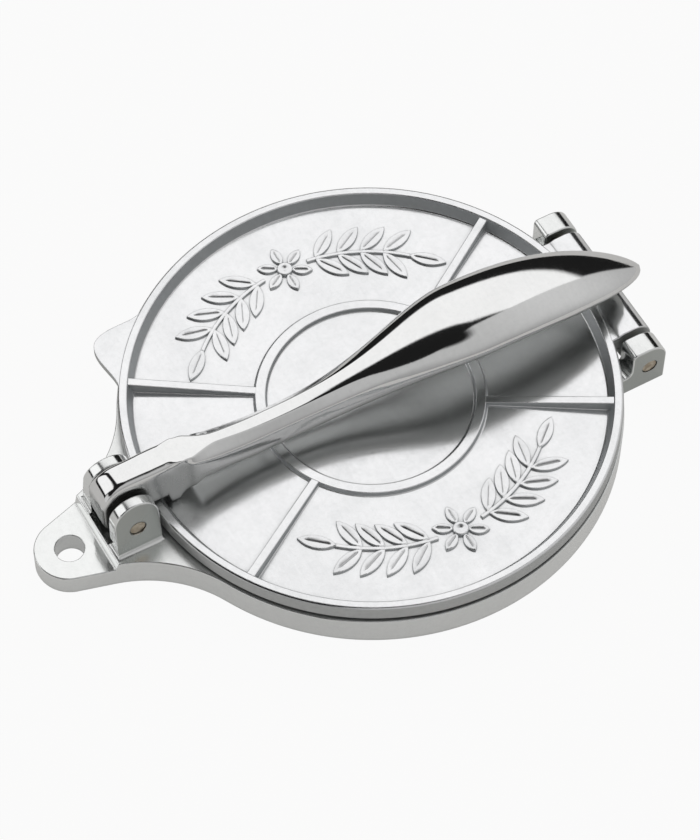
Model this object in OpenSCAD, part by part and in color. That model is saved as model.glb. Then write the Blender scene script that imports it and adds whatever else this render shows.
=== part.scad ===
// Hand press for small round flatbreads: two round cast plates hinged together at
// the back, and a leaf-shaped lever pinned at the front that bears on the top plate.
// X runs along both hinge pins, Y from the hanging tongue to the rear hinge, Z up.
// The origin is the middle of the base plate's underside.

/* [Plates] */
// Outside diameter of the top plate
press_d = 165; // [150:1:190]
// How far the base plate's edge stands out past the top plate's
base_lip = 0.6; // [0.2:0.1:3]
// Height of the base plate's edge
base_h = 11.5; // [9:0.5:16]
// Thickness of the base plate's web
base_web = 3.4; // [2.5:0.1:5]
// Thickness of the base plate's outer wall
base_wall = 3.4; // [2.5:0.1:5]
// How far the lower pressing face stands above the base plate's edge
face_rise = 0.6; // [0.3:0.1:1.5]
// Gap between the two pressing faces when shut
face_gap = 0.15; // [0.1:0.05:0.5]
// Thickness of the top plate's web
lid_web = 2.1; // [1.8:0.1:4]
// Height of the top plate's rim above its floor
rim_h = 4.2; // [3:0.1:8]
// Width of the rim's flat top
rim_w = 3.2; // [2:0.1:5]
// How much wider the rim is at its foot, from draft and fillet
rim_foot = 1.9; // [1:0.1:3]
// Height of the shadow groove round the top plate's lower edge
groove_h = 1.6; // [0.8:0.1:1.8]
// Depth of the shadow groove
groove_deep = 0.9; // [0.4:0.1:2]

/* [Ring and ribs] */
// Outside diameter of the raised ring
ring_d = 75.6; // [60:0.2:90]
// Width of the ring
ring_w = 3.5; // [2:0.1:6]
// Height of the ring above the floor
ring_h = 1.3; // [0.8:0.1:3]
// Width of a rib
rib_w = 2.9; // [2:0.1:5]
// How far a rib's outer end lies below the rim's top
rib_drop = 0.5; // [0.3:0.1:2]
// Angle of each rib from the hinge-to-tongue line
rib_angle = 31.8; // [25:0.1:45]

/* [Leaf relief] */
// Radius of the two sprigs' stems about the plate's middle
sprig_r = 58; // [54:0.5:61]
// Length of a leaf
leaf_l = 13; // [8:0.5:14]
// Width of a leaf
leaf_w = 4.8; // [3.5:0.1:6]
// Angle of the leaves from their stem
leaf_angle = 47; // [35:1:60]
// Height of the relief above the floor
relief_h = 0.8; // [0.4:0.1:1.2]
// Width of the stem
stem_w = 1.3; // [0.8:0.1:2]

/* [Lift tab] */
// Direction of the tab about the plate's middle
tab_angle = 229.5; // [225:0.5:232]
// How far the tab reaches past the rim
tab_reach = 10; // [6:0.5:14]
// Half of the angle that the tab's root spans
tab_span = 9; // [7:0.5:11]
// Radius of the tab's rounded tip
tab_tip_r = 4; // [3:0.1:5]
// Thickness of the tab
tab_t = 2.4; // [1.8:0.1:3.5]

/* [Tongue] */
// Distance from the base plate's edge to the middle of the hanging hole
hole_reach = 27.5; // [25:0.5:34]
// Diameter of the hanging hole
hole_d = 9.6; // [6:0.1:12]
// Radius of the tongue's round end
tongue_r = 11.6; // [10:0.1:13]
// Thickness of the tongue
tongue_t = 8.3; // [6:0.1:9]
// Angle at which each side of the tongue widens
tongue_taper = 16; // [12:0.5:20]
// Radius of the hollow flare from the tongue into the plate
flare_r = 45; // [35:1:60]

/* [Front clevis] */
// Distance from the base plate's edge to the lever pin
front_reach = 8.2; // [7.8:0.1:10]
// Height of the lever pin above the base plate's edge
front_rise = 10.2; // [10:0.1:12]
// Width of the slot between the front ears
front_slot = 13.2; // [12.4:0.1:15]
// Thickness of a front ear at its crown
front_ear_t = 3.8; // [3:0.1:5]
// How much thicker a front ear is at its foot
front_ear_draft = 2.2; // [0.5:0.1:3]
// Radius of a front ear's crown, half the ear's length
front_crown_r = 7.8; // [6.5:0.1:8.3]
// Height from the lever pin up to the middle of the crown
front_crown_up = 3.8; // [2:0.1:5]

/* [Rear hinge] */
// Distance from the base plate's edge to the rear pin
rear_reach = 4.9; // [4.5:0.1:6]
// Height of the rear pin
rear_pin_z = 9.8; // [9:0.1:11]
// Distance between the rear ears
rear_slot = 48.4; // [44:0.2:56]
// Thickness of a rear ear
rear_ear_t = 7.8; // [6:0.1:10]
// Distance from the rear pin to the back of an ear
rear_back = 6.2; // [5.8:0.1:8]
// Distance from the rear pin to the front of an ear's upper part
rear_front = 6.8; // [6:0.1:7.2]
// Height of an ear's top above the rear pin
rear_top = 9.7; // [9.2:0.1:12]
// Radius of the ears' rounded back corner
rear_round = 7; // [4:0.1:7.5]
// Side gap between the top plate's lug and each ear
lug_side_gap = 2; // [0.5:0.1:3]
// Radius of the lug's barrel about the rear pin
barrel_r = 5.8; // [5:0.1:6]
// Clearance between the barrel and the scallop in the base plate
scallop_gap = 0.8; // [0.5:0.1:1.2]

/* [Pins] */
// Diameter of both pins
pin_d = 5.2; // [4:0.1:6]
// Radial clearance of the pins where something turns on them
pin_gap = 0.08; // [0.03:0.01:0.1]
// How far each end of a pin lies below the ear's face
pin_inset = 0.3; // [0.1:0.1:0.6]
// Width of the countersink round each end of the rear pin
pin_sink_w = 0.5; // [0.2:0.1:0.8]

/* [Lever] */
// Width of the lever's root between the ears
root_w = 10.4; // [9:0.1:11.6]
// How far the lever swings open, in degrees
lever_open = 100; // [80:1:102]
// Radius of the lever's eye about its pin
eye_r = 8.8; // [8:0.1:9]
// Height of the root's flat top above its pin
root_top = 15.7; // [14.4:0.1:16.5]
// Distance from the pin to where the root's top drops to the neck
root_len = 24; // [23:0.5:28]
// Gap between the heel's lowest point and the top plate's floor
heel_gap = 0.6; // [0.3:0.1:1.5]
// Gap between the root and the rim's top
rim_gap = 1.2; // [0.8:0.1:2]
// Distance from the pin to the neck's lowest place
neck_at = 50; // [46:0.5:56]
// Distance from the pin to the grip's highest place
crest_at = 124; // [114:1:136]
// Distance from the pin to the grip's tip
tip_at = 191.8; // [180:0.5:205]
// Height of the neck's middle above the pin
neck_up = 3.6; // [2.6:0.1:5]
// Height of the grip's middle above the pin at its highest place
crest_up = 16.1; // [12:0.1:20]
// Height of the tip above the pin
tip_up = 1.5; // [1:0.1:8]
// Half width of the neck
neck_half_w = 5.8; // [5.5:0.1:7]
// Half width of the grip at its widest
grip_half_w = 15; // [12:0.1:18]
// Height of the blade above its middle line at the neck
neck_above = 8.2; // [7:0.1:9.5]
// Half width of the flat spine along the top of the neck
spine_half_w = 2.2; // [1.5:0.1:3]
// Height of the blade above its middle line at the grip
grip_above = 6.4; // [5:0.1:8]
// Depth of the blade below its middle line at the neck
neck_below = 4.2; // [3.2:0.1:5]
// Depth of the blade below its middle line at the grip
grip_below = 5.4; // [4:0.1:7]
// Sideways set of the blade, in degrees
blade_set = 1; // [0:0.1:2]

/* [Hidden] */
$fn = 96;

lid_r = press_d / 2;
base_r = lid_r + base_lip;
skirt_in_r = base_r - base_wall;
web_z = base_h - base_web;
face_z = base_h + face_rise;
face_r = lid_r - groove_deep - 0.4;
lid_z = face_z + face_gap;
floor_z = lid_z + lid_web;
rim_z = floor_z + rim_h;
rim_in_r = lid_r - rim_w;
rim_foot_r = rim_in_r - rim_foot;
ring_r = ring_d / 2;
ring_z = floor_z + ring_h;

hole_y = -(base_r + hole_reach);
front_y = -(base_r + front_reach);
front_z = base_h + front_rise;
rear_y = base_r + rear_reach;
rear_z = rear_pin_z;
pin_r = pin_d / 2;
bore_r = pin_r + pin_gap;

// Front ears: middle of the crown, outer faces at crown and foot, and their lean
crown_z = front_z + front_crown_up;
crown_top_z = crown_z + front_crown_r;
front_in = front_slot / 2;
front_out = front_in + front_ear_t;
front_foot_out = front_out + front_ear_draft;
front_lean = atan(front_ear_draft / (crown_top_z - base_h));
front_pin_half = front_out + (crown_top_z - front_z) * tan(front_lean) - pin_inset;
// The step where the deck under the ears meets the tongue
deck_y = front_y - front_crown_r - 1.4;
step_run = 0.8;

// Rear ears and the top plate's lug between them
rear_in = rear_slot / 2;
rear_out = rear_in + rear_ear_t;
rear_back_y = rear_y + rear_back;
rear_top_z = rear_z + rear_top;
lug_half = rear_in - lug_side_gap;

// How far the root's rounded front corner reaches from the pin, in a given direction
corner_up = root_top - eye_r;
function root_reach(a) = corner_up * sin(a) + sqrt(pow(corner_up * sin(a), 2) - pow(corner_up, 2) + pow(eye_r, 2));
// The corner that comes round to the deck's step when the lever is open
step_dir = 180 + atan(front_rise / (front_y - deck_y));
pocket_r = root_reach(step_dir - lever_open) + 0.4;

// Points of an arc about c, from angle a to angle b
function arc(c, r, a, b, n = 6) =
    [for (i = [0:n]) c + r * [cos(a + (b - a) * i / n), sin(a + (b - a) * i / n)]];

// A cylinder along X, centred on x, y, z
module rod_x(r, half, y, z, x = 0) {
    translate([x - half, y, z]) rotate([0, 90, 0]) cylinder(r = r, h = 2 * half);
}

// A block between two opposite corners
module block(a, b) {
    translate(a) cube(b - a);
}

// An outline in Y and Z, drawn out along X from x0 to x1
module slab_x(x0, x1) {
    translate([x0, 0, 0]) rotate([90, 0, 90]) linear_extrude(x1 - x0) children();
}

module both_sides() {
    children();
    mirror([1, 0, 0]) children();
}

// ---------------------------------------------------------------- base plate

// Each side of the tongue is a line, side_d from the origin along its normal side_n.
// The flare's circle touches that line and the plate's edge from outside.
side_n = [cos(tongue_taper), -sin(tongue_taper)];
side_d = side_n[1] * hole_y + tongue_r;
flare_off = side_d + flare_r;
flare_along = sqrt(pow(base_r + flare_r, 2) - pow(flare_off, 2));
flare_c = flare_off * side_n - flare_along * [sin(tongue_taper), cos(tongue_taper)];
flare_on_side = flare_c - flare_r * side_n;
flare_on_edge = flare_c * base_r / (base_r + flare_r);

module tongue() {
    translate([0, hole_y, 0]) cylinder(r = tongue_r, h = tongue_t);
    difference() {
        both_sides() linear_extrude(base_h) polygon([
            [0, hole_y], [0, hole_y] + tongue_r * side_n, flare_on_side, flare_c, flare_on_edge, [0, 0]
        ]);
        both_sides() translate([flare_c[0], flare_c[1], -1]) cylinder(r = flare_r, h = base_h + 2, $fn = 180);
        slab_x(-base_r, base_r) polygon([
            [2 * hole_y, tongue_t], [deck_y - step_run, tongue_t], [deck_y, base_h + 0.01],
            [deck_y, base_h + 1], [2 * hole_y, base_h + 1]
        ]);
    }
}

// One front ear: a round crown, and an outer face that leans in with the draft
module front_ear() {
    wide = front_foot_out + 1;
    difference() {
        union() {
            block([front_in, front_y - front_crown_r, base_h - 2], [wide, front_y + front_crown_r, crown_z]);
            rod_x(front_crown_r, (wide - front_in) / 2, front_y, crown_z, (wide + front_in) / 2);
        }
        translate([front_foot_out, 0, base_h]) rotate([0, -front_lean, 0])
            block([0, 2 * front_y, -base_h], [wide, 0, 2 * crown_z]);
    }
}

// One rear ear: square at the front, well rounded at the back, on a low arm to the plate
module rear_ear() {
    front = rear_y - rear_front;
    corner_r = 1.6;
    fillet_r = 2.4;
    arm_z = base_h - 3;
    slab_x(rear_in, rear_out) polygon(concat(
        [[base_r * 0.85, 0], [rear_back_y, 0]],
        arc([rear_back_y - rear_round, rear_top_z - rear_round], rear_round, 0, 90, 12),
        arc([front + corner_r, rear_top_z - corner_r], corner_r, 90, 180, 4),
        arc([front - fillet_r, arm_z + fillet_r], fillet_r, 0, -90, 5),
        [[base_r * 0.85, arm_z]]
    ));
}

// Ring, crossed ribs and middle boss that stiffen the hollow underside
module underside() {
    under_w = 3;
    boss_r = 9;
    deep = web_z + 0.5;
    cylinder(r = boss_r, h = deep);
    difference() {
        cylinder(r = ring_r, h = deep);
        translate([0, 0, -1]) cylinder(r = ring_r - under_w, h = deep + 2);
    }
    for (s = [-1, 1]) rotate([0, 0, 90 + s * rib_angle])
        block([-skirt_in_r - 1, -under_w / 2, 0], [skirt_in_r + 1, under_w / 2, deep]);
}

module base_plate() {
    color("gainsboro") difference() {
        union() {
            difference() {
                union() {
                    cylinder(r = base_r, h = base_h, $fn = 180);
                    cylinder(r = face_r, h = face_z, $fn = 180);
                    tongue();
                }
                translate([0, 0, -1]) cylinder(r = skirt_in_r, h = web_z + 1, $fn = 180);
            }
            underside();
            both_sides() front_ear();
            both_sides() rear_ear();
        }
        translate([0, hole_y, -1]) cylinder(d = hole_d, h = base_h + 2);
        rod_x(pocket_r, front_in, front_y, front_z);
        rod_x(pin_r, front_foot_out + 1, front_y, front_z);
        rod_x(barrel_r + scallop_gap, rear_in, rear_y, rear_z);
        rod_x(pin_r, rear_out + 1, rear_y, rear_z);
        both_sides() rod_x(pin_r + pin_sink_w, pin_inset, rear_y, rear_z, rear_out);
    }
}

// ----------------------------------------------------------------- top plate

// Half section of the plate: press face, shadow groove, rim, floor and raised ring
module plate_section() {
    edge = 0.5;
    side = 0.3;
    polygon(concat(
        [[0, lid_z], [lid_r - groove_deep, lid_z], [lid_r - groove_deep, lid_z + groove_h],
         [lid_r, lid_z + groove_h]],
        arc([lid_r - edge, rim_z - edge], edge, 0, 90, 4),
        arc([rim_in_r + edge, rim_z - edge], edge, 90, 170, 4),
        arc([rim_foot_r - 0.3, floor_z + 1.6], 1.6, -20, -90, 6),
        [[ring_r + side, floor_z], [ring_r, ring_z], [ring_r - ring_w, ring_z],
         [ring_r - ring_w - side, floor_z], [0, floor_z]]
    ));
}

// One rib, along +X: it falls from just under the rim's top to the ring's top
module rib() {
    end = rim_in_r + 1;
    translate([0, rib_w / 2, 0]) rotate([90, 0, 0]) linear_extrude(rib_w) polygon([
        [ring_r - ring_w / 2, floor_z - 0.5], [end, floor_z - 0.5], [end, rim_z - rib_drop],
        [ring_r, ring_z], [ring_r - ring_w / 2, ring_z]
    ]);
}

// Where a line from p touches the circle about c
function touch(c, r, p, s) = let (v = p - c, a = atan2(v[1], v[0]) - s * acos(r / norm(v))) c + r * [cos(a), sin(a)];

// Thin tab for lifting the plate, cast level with the rim's top
module lift_tab() {
    tip = [lid_r + tab_reach - tab_tip_r, 0];
    root = (lid_r - 1) * [cos(tab_span), sin(tab_span)];
    flank = touch(tip, tab_tip_r, root, 1);
    rotate([0, 0, tab_angle]) translate([0, 0, rim_z - tab_t]) {
        translate(tip) cylinder(r = tab_tip_r, h = tab_t);
        linear_extrude(tab_t) polygon([
            [rim_in_r + 1, 0], root, flank, tip, [flank[0], -flank[1]], [root[0], -root[1]]
        ]);
    }
}

// The lug between the rear ears: it follows their rounded back and takes the pin
module hinge_lug() {
    bite = lid_r - groove_deep - 0.2;
    lug_in_y = sqrt(pow(bite, 2) - pow(lug_half, 2)) - 1;
    rod_x(barrel_r, lug_half, rear_y, rear_z);
    difference() {
        slab_x(-lug_half, lug_half) polygon(concat(
            [[lug_in_y, lid_z], [rear_y - barrel_r, lid_z], [rear_y, rear_z], [rear_y + barrel_r, rear_z]],
            arc([rear_back_y - rear_round, rear_top_z - rear_round], rear_round, 0, 90, 12),
            [[rear_y - rear_front + 2, rear_top_z - 0.2], [lid_r - 1, rim_z], [lug_in_y, rim_z]]
        ));
        translate([0, 0, lid_z - 1]) cylinder(r = bite, h = rim_z, $fn = 180);
    }
}

// A pointed leaf along +X from the origin, with a groove for its midrib
module leaf(l, w, h) {
    r = (l * l / 4 + w * w / 4) / w;
    difference() {
        intersection() {
            translate([l / 2, r - w / 2, 0]) cylinder(r = r, h = h);
            translate([l / 2, w / 2 - r, 0]) cylinder(r = r, h = h);
        }
        block([l * 0.12, -0.22, h - 0.35], [l * 0.8, 0.22, h + 1]);
    }
}

// A sprig along an arc: a stem, pairs of leaves on both sides, and a leaf at the end
module sprig(from, to, pairs) {
    sink = 0.2;
    h = relief_h + sink;
    step = (to - from) / (pairs + 0.6);
    translate([0, 0, floor_z - sink]) {
        rotate([0, 0, min(from, to)]) rotate_extrude(angle = abs(to - from), $fn = 180)
            translate([sprig_r - stem_w / 2, 0]) square([stem_w, h]);
        for (i = [0:pairs - 1]) rotate([0, 0, from + (i + 0.35) * step]) translate([sprig_r, 0, 0])
            for (side = [-1, 1]) rotate([0, 0, sign(step) * (90 - side * leaf_angle)]) translate([stem_w / 4, 0, 0])
                leaf(leaf_l, leaf_w, h);
        rotate([0, 0, to]) translate([sprig_r, 0, 0]) rotate([0, 0, sign(step) * 90]) translate([-stem_w / 2, 0, 0])
            leaf(leaf_l, leaf_w, h);
    }
}

// Six-petalled flower where two sprigs start
module blossom(angle) {
    sink = 0.2;
    rotate([0, 0, angle]) translate([sprig_r, 0, floor_z - sink]) {
        for (a = [0:60:300]) rotate([0, 0, a]) translate([2.2, 0, 0])
            leaf(leaf_l * 0.55, leaf_w * 0.75, relief_h + sink);
        cylinder(r = 2.6, h = relief_h + sink + 0.3);
    }
}

module relief() {
    for (m = [[180, 43, 4], [0, 41, 4]]) {
        blossom(m[0]);
        for (s = [-1, 1]) sprig(m[0] + s * 8, m[0] + s * m[1], m[2]);
    }
}

module top_plate() {
    color("whitesmoke") difference() {
        union() {
            rotate_extrude($fn = 180) plate_section();
            for (a = [90 - rib_angle, 90 + rib_angle, 270 - rib_angle, 270 + rib_angle]) rotate([0, 0, a]) rib();
            lift_tab();
            hinge_lug();
            relief();
        }
        rod_x(bore_r, lug_half + 1, rear_y, rear_z);
    }
}

// --------------------------------------------------------------------- lever

// The root beside the pin, about the pin: round front, flat top, and a heel that
// passes over the rim and bears on the floor just inside it
rim_over_v = rim_z + rim_gap - front_z;
heel_v = floor_z + heel_gap - front_z;
heel_u = -front_y - rim_foot_r + 1;
heel_l = 4.4;
// The root's far end: a rounded shoulder that sinks into the neck
root_end_r = 6;
drop_c = [root_len - root_end_r, root_top - root_end_r];

module lever_root() {
    half = root_w / 2;
    translate([0, front_y, front_z]) {
        rod_x(eye_r, half, 0, 0);
        slab_x(-half, half) polygon(concat(
            arc([0, corner_up], eye_r, 180, 90, 14),
            arc(drop_c, root_end_r, 90, 55, 5),
            [[drop_c[0] + root_end_r * cos(55), neck_up + 4], [root_len + 4, neck_up + 1], [root_len + 1, 0]],
            arc([heel_u + heel_l - 1.8, heel_v + 1.8], 1.8, 0, -90, 4),
            arc([heel_u + 1.2, heel_v + 1.2], 1.2, -90, -180, 4),
            [[heel_u - 0.6, rim_over_v], [eye_r * 0.9, rim_over_v], [0, 0], [-eye_r, 0]]
        ));
    }
}

function smooth(t) = t * t * (3 - 2 * t);
function mix(a, b, t) = a + (b - a) * t;
function share(u, a, b) = min(1, max(0, (u - a) / (b - a)));

// The blade's middle line, half width, and depths above and below, at a distance u
// from the pin: a slim neck, a leaf-shaped grip, and a pointed tip that droops
wide_at = crest_at + 2;
tip_half_w = 0.35;
function blade_v(u) =
    u < neck_at ? mix(neck_up, neck_up + 3, smooth(share(u, neck_at, root_len - 6))) :
    u < crest_at ? mix(neck_up, crest_up, smooth(pow(share(u, neck_at, crest_at), 1.25))) :
    mix(crest_up, tip_up, pow(share(u, crest_at, tip_at), 2.2));
function blade_half_w(u) =
    u < neck_at ?
        mix(neck_half_w, neck_half_w + 0.7, share(u, neck_at, root_len)) * mix(1, 0.68, share(u, root_len + 4, root_len - 8)) :
    u < wide_at ? mix(neck_half_w, grip_half_w, smooth(pow(share(u, neck_at, wide_at), 1.45))) :
    (grip_half_w - tip_half_w) * pow(1 - pow(share(u, wide_at, tip_at), 2.4), 0.6) + tip_half_w;
function blade_thick(u, neck, grip) =
    mix(neck, grip, smooth(share(u, neck_at, wide_at))) * mix(1, 0.12, pow(share(u, wide_at, tip_at), 3));

// The neck's upper half is a roof: a flat spine, sloping flanks and short upright sides.
// It starts as square as the root and melts into the round of the grip.
function square_part(u) = smooth(share(u, root_len + 10, root_len - 3));
function roof_part(u) = 1 - smooth(share(u, neck_at + 10, crest_at - 16));
function roof_x(q, u) = let (k = square_part(u), spine = spine_half_w / neck_half_w * mix(0.75, 1, share(u, neck_at - 14, neck_at + 2)))
    lookup(q, [[0, 0], [0.434, mix(spine, 0.95, k)], [0.782, mix(0.85, 0.985, k)], [0.975, mix(0.985, 0.99, k)], [1, 1]]);
function roof_z(q, u) = let (k = square_part(u))
    lookup(q, [[0, 1], [0.434, 0.985], [0.782, mix(0.62, 0.8, k)], [0.975, mix(0.12, 0.3, k)], [1, 0]]);

// One ring of points round the blade
blade_sides = 28;
function rounded(c, n) = sign(c) * pow(abs(c), 2 / n);
function blade_ring(u) =
    let (n = mix(2.8, 2.1, share(u, neck_at, crest_at)), w = blade_half_w(u), roof = roof_part(u))
    [for (i = [0:blade_sides - 1])
        let (a = 360 * i / blade_sides, c = cos(a), s = sin(a), up = s > 0.001,
             x = up ? mix(rounded(c, n), sign(c) * roof_x(abs(c), u), roof) : rounded(c, n),
             z = up ? mix(rounded(s, n), roof_z(abs(c), u), roof) : rounded(s, n))
        [u * tan(blade_set) + w * x, u,
         blade_v(u) + z * (up ? blade_thick(u, neck_above, grip_above) : blade_thick(u, neck_below, grip_below))]];

module lever_blade() {
    rings = 44;
    first = root_len - 7;
    at = [for (k = [0:rings]) mix(first, tip_at, 1 - pow(1 - k / rings, 1.15))];
    points = [for (u = at) each blade_ring(u)];
    n = blade_sides;
    sides = [for (k = [0:rings - 1], i = [0:n - 1], half = [0, 1])
        let (a = k * n + i, b = k * n + (i + 1) % n)
        half == 0 ? [a, b, a + n] : [b, b + n, a + n]];
    caps = [[for (i = [n - 1:-1:0]) i], [for (i = [0:n - 1]) rings * n + i]];
    translate([0, front_y, front_z]) polyhedron(points, concat(sides, caps), convexity = 4);
}

module lever() {
    color("silver") difference() {
        union() {
            lever_root();
            lever_blade();
        }
        rod_x(bore_r, root_w, front_y, front_z);
    }
}

// ---------------------------------------------------------------------- pins

module lever_pin() {
    color("tan") rod_x(pin_r, front_pin_half, front_y, front_z);
}

module hinge_pin() {
    color("tan") rod_x(pin_r, rear_out - pin_inset, rear_y, rear_z);
}

base_plate();
top_plate();
lever();
lever_pin();
hinge_pin();
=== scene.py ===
from math import acos, atan2, cos, degrees, hypot, pi, radians, sin, sqrt, tan

import bmesh
import bpy
from bmesh.types import BMVert
from mathutils import Matrix, Vector

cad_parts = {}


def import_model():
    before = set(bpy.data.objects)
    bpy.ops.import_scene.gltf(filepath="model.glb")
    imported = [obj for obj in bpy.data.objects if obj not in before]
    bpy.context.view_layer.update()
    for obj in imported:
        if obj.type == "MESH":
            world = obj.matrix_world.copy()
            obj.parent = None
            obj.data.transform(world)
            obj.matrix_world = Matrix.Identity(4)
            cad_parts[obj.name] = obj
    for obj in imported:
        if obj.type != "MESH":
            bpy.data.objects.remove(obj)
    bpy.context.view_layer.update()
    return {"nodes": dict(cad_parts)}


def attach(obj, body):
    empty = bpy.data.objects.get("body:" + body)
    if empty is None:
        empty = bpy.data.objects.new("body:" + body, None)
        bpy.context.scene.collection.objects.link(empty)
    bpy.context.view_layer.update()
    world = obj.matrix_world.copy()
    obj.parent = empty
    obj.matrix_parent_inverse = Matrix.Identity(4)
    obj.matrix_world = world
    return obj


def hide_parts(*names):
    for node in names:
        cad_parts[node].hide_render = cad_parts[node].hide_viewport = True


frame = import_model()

scene = bpy.context.scene

# ------------------------------------------------------------- sizes, in millimetres

MM = 0.001

# base casting
BASE_R, BASE_TOP = 83.1, 11.5
FACE_R, FACE_TOP = 81.2, 12.1
SKIRT_R, WEB_Z = 79.7, 8.1
UNDER_W, BOSS_R = 3, 9
HOLE_Y, HOLE_R, TONGUE_R, TONGUE_TOP, TONGUE_TAPER = -110.6, 4.8, 11.6, 8.3, 16
HOLE_EDGE, FLARE_R = 0.3, 45
STEP_Y, STEP_RUN = -100.5, 0.8

# front clevis and its pin
FRONT_Y, FRONT_Z = -91.3, 21.7
FRONT_IN, CROWN_OUT, FOOT_OUT = 6.6, 10.4, 12.6
CROWN_Z, CROWN_R = 25.5, 7.8
POCKET_R = 13.5

# rear hinge
REAR_Y, REAR_Z = 88.0, 9.8
EAR_IN, EAR_OUT = 24.2, 32.0
EAR_BACK, EAR_TOP, EAR_FRONT, EAR_ROUND = 94.2, 19.5, 81.2, 7.0
LUG_HALF, BARREL_R, SCALLOP_R = 22.2, 5.8, 6.6
PIN_R, SEAT_R, BORE_R, RECESS = 2.6, 2.65, 2.68, 0.35

# top plate
LID_R, LID_UNDER, FLOOR, RIM_TOP = 82.5, 12.25, 14.35, 18.55
GROOVE_R, GROOVE_TOP = 82.0, 12.95
RIM_IN, RIM_FOOT, RIM_EDGE, RIM_LIP, RIM_FILLET = 79.3, 77.4, 1.0, 0.5, 0.8
RING_OUT, RING_IN, RING_TOP = 37.8, 34.3, 15.65
RING_EDGE, RING_FILLET, RING_FOOT = 0.35, 0.5, 0.8
RIB_TURN, RIB_W, RIB_TOP = 31.8, 2.9, 18.05
TAB_TURN, TAB_SPAN, TAB_REACH, TAB_T = 229.5, 9, 10, 2.4
SPRIG_R, SPRIG_FROM, STEM_W, RELIEF = 58, 8, 1.3, 0.8
LEAF_L, LEAF_W, LEAF_TURN, MIDRIB = 13, 4.8, 47, 0.35
PETAL_AT, BUTTON_R = 2.2, 2.6

# lever, measured from its pin: u towards the grip, v upwards
ROOT_HALF, EYE_R, ROOT_TOP = 5.2, 8.8, 15.7
NECK_AT, CREST_AT, WIDE_AT, TIP_AT = 50, 124, 126, 191.8
NECK_UP, CREST_UP, TIP_UP = 3.6, 16.1, 1.5
NECK_HALF, GRIP_HALF, TIP_HALF = 5.8, 15, 0.35
NECK_ABOVE, NECK_BELOW, GRIP_ABOVE, GRIP_BELOW = 8.2, 4.2, 6.4, 5.4
SPINE_HALF = 2.2
ROOT_END, ROOT_RISE, SHOULDER_AT, SHOULDER_END, NOSE = 18, 3, 20.4, 24.6, 0.9
NOTCH_AT, NOTCH_LOW = 8.58, -1.95
HEEL_FROM, HEEL_TO, HEEL_LOW, HEEL_R, HEEL_RAMP = 14.3, 17.5, -6.75, 1.8, 0.93
ASIDE = 1  # degrees


# ------------------------------------------------------------- tools of the bench

class Outline:
    """A pen that draws lines and arcs on the flat."""

    def __init__(self, x, y):
        self.mesh = bmesh.new()
        self.start = self.pen = self.mesh.verts.new((x, y, 0))

    def line(self, *points):
        for x, y in points:
            self.pen = bmesh.ops.extrude_vert_indiv(self.mesh, verts=[self.pen])["verts"][0]
            self.pen.co = (x, y, 0)
        return self

    def arc(self, x, y, turn, steps=6):
        spun = bmesh.ops.spin(self.mesh, geom=[self.pen], cent=(x, y, 0), axis=(0, 0, 1),
                              angle=radians(turn), steps=steps)
        self.pen = [v for v in spun["geom_last"] if isinstance(v, BMVert)][0]
        return self

    def filled(self):
        """Closes the outline and fills it with a face."""
        if (self.pen.co - self.start.co).length > 0.002:
            self.mesh.edges.new((self.pen, self.start))
        bmesh.ops.remove_doubles(self.mesh, verts=self.mesh.verts, dist=0.002)
        bmesh.ops.contextual_create(self.mesh, geom=self.mesh.edges[:])
        return self.mesh


def outward(solid):
    """Merges doubled points and turns every face outward."""
    bmesh.ops.remove_doubles(solid, verts=solid.verts, dist=0.001)
    bmesh.ops.recalc_face_normals(solid, faces=solid.faces)
    return solid


def thick(outline, low, high):
    """The outline as a solid, from low to high along Z."""
    solid = outline.filled()
    lid = bmesh.ops.extrude_face_region(solid, geom=solid.faces[:])["geom"]
    bmesh.ops.translate(solid, verts=solid.verts, vec=(0, 0, low))
    raised = [v for v in lid if isinstance(v, BMVert)]
    bmesh.ops.translate(solid, verts=raised, vec=(0, 0, high - low))
    return outward(solid)


def across(outline, left, right):
    """The outline, drawn in Y and Z, as a solid from left to right along X."""
    return moved(thick(outline, left, right), Matrix(((0, 0, 1), (1, 0, 0), (0, 1, 0))).to_4x4())


def along(outline, near, far):
    """The outline, drawn in X and Z, as a solid from near to far along Y."""
    return outward(moved(thick(outline, near, far), Matrix(((1, 0, 0), (0, 0, 1), (0, 1, 0))).to_4x4()))


def turned(outline, steps=180):
    """The outline, drawn as radius and height, turned round the Z axis."""
    solid = outline.mesh
    moved(solid, Matrix.Rotation(radians(90), 4, "X"))
    bmesh.ops.spin(solid, geom=solid.verts[:] + solid.edges[:], cent=(0, 0, 0), axis=(0, 0, 1),
                   angle=2 * pi, steps=steps, use_merge=True)
    return outward(solid)


def moved(solid, matrix):
    bmesh.ops.transform(solid, matrix=matrix, verts=solid.verts)
    return solid


def mirrored(solid):
    """The same solid on the other side of the middle plane."""
    return outward(moved(solid, Matrix.Scale(-1, 4, (1, 0, 0))))


def turn_about_z(angle, x=0.0, y=0.0, z=0.0):
    return Matrix.Rotation(radians(angle), 4, "Z") @ Matrix.Translation((x, y, z))


def rod(r, half, y, z, steps=64):
    """A round bar along X."""
    return across(Outline(y + r, z).arc(y, z, 360, steps), -half, half)


def higher_than(z):
    """Picks the edges that lie wholly above z."""
    return lambda edge: min(v.co.z for v in edge.verts) > z


def rounded(solid, width, steps=3, sharp=40, wanted=lambda edge: True):
    """Rounds the wanted edges that are sharper than this many degrees."""
    edges = [e for e in solid.edges if e.is_manifold and e.calc_face_angle() > radians(sharp) and wanted(e)]
    bmesh.ops.bevel(solid, geom=edges, offset=width, offset_type="OFFSET", affect="EDGES", segments=steps,
                    profile=0.5, material=-1, clamp_overlap=True)
    return solid


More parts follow.
